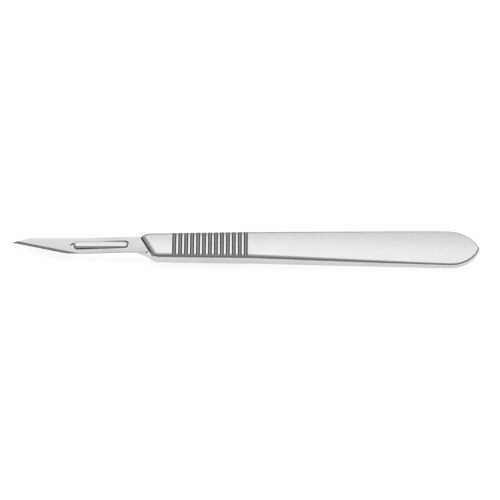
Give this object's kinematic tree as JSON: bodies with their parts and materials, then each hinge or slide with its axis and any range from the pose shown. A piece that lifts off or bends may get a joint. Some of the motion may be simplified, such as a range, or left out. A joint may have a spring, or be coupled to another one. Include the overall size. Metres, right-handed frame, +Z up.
{
  "type": "scalpel handle",
  "caption": "Flat steel surgical scalpel handle with transverse grip grooves and an ogive tail, fitted with a narrow pointed clip-on blade on its keyed tang.",
  "frame": {"origin": "middle of the whole length on the flat rest face, on the handle's long axis", "axes": "+X runs from the blade's tip to the handle's tail, +Y towards the blade's spine, +Z up from the rest face to the side that carries the blade"},
  "size_m": [0.1436, 0.0134, 0.0042],
  "materials": {
    "handle_steel": "fine satin, slightly mottled",
    "blade_steel": "fine ground sheet steel"
  },
  "bodies": {
    "root": {"handle": "handle_steel", "blade": "blade_steel"}
  },
  "joints": []
}
